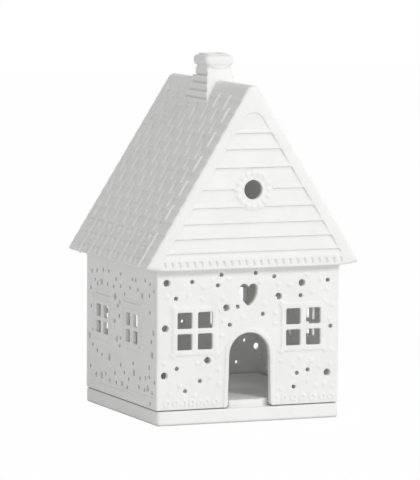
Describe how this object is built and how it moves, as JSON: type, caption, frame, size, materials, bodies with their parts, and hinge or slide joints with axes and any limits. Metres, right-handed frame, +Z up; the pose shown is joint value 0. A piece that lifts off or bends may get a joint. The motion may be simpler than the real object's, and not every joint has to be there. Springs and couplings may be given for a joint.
{
  "type": "tealight house",
  "caption": "White porcelain lantern house with pierced walls, arched door, tiled roof and chimney, standing loose on a base plate that carries a tealight.",
  "frame": {"origin": "centre of the footprint on the surface that the base plate stands on", "axes": "+Z up; the door and the front gable face -Y; +X is to the right seen from the front, and the roof's ridge runs along Y"},
  "size_m": [0.1322, 0.1244, 0.2061],
  "materials": {
    "bisque_porcelain": "unglazed matt white bisque",
    "cup_aluminium": "bright pressed foil",
    "paraffin_wax": "waxy satin",
    "cotton_wick": "waxed braid",
    "tinned_steel": "bright tinned"
  },
  "bodies": {
    "base": {"base_plate": "bisque_porcelain"},
    "house": {"front_wall": "bisque_porcelain", "back_wall": "bisque_porcelain", "left_wall": "bisque_porcelain", "right_wall": "bisque_porcelain", "left_roof_slope": "bisque_porcelain", "right_roof_slope": "bisque_porcelain", "front_gable": "bisque_porcelain", "back_gable": "bisque_porcelain", "chimney_stack": "bisque_porcelain", "chimney_cap": "bisque_porcelain"},
    "tealight": {"tealight_cup": "cup_aluminium", "tealight_wax": "paraffin_wax", "tealight_wick": "cotton_wick", "wick_sustainer": "tinned_steel"}
  },
  "joints": [
    {"name": "house_lift", "type": "slide", "parent": "base", "child": "house", "axis": [0, 0, 1], "range_m": [0, 0.08]},
    {"name": "tealight_lift", "type": "slide", "parent": "base", "child": "tealight", "axis": [0, 0, 1], "range_m": [0, 0.06]}
  ]
}
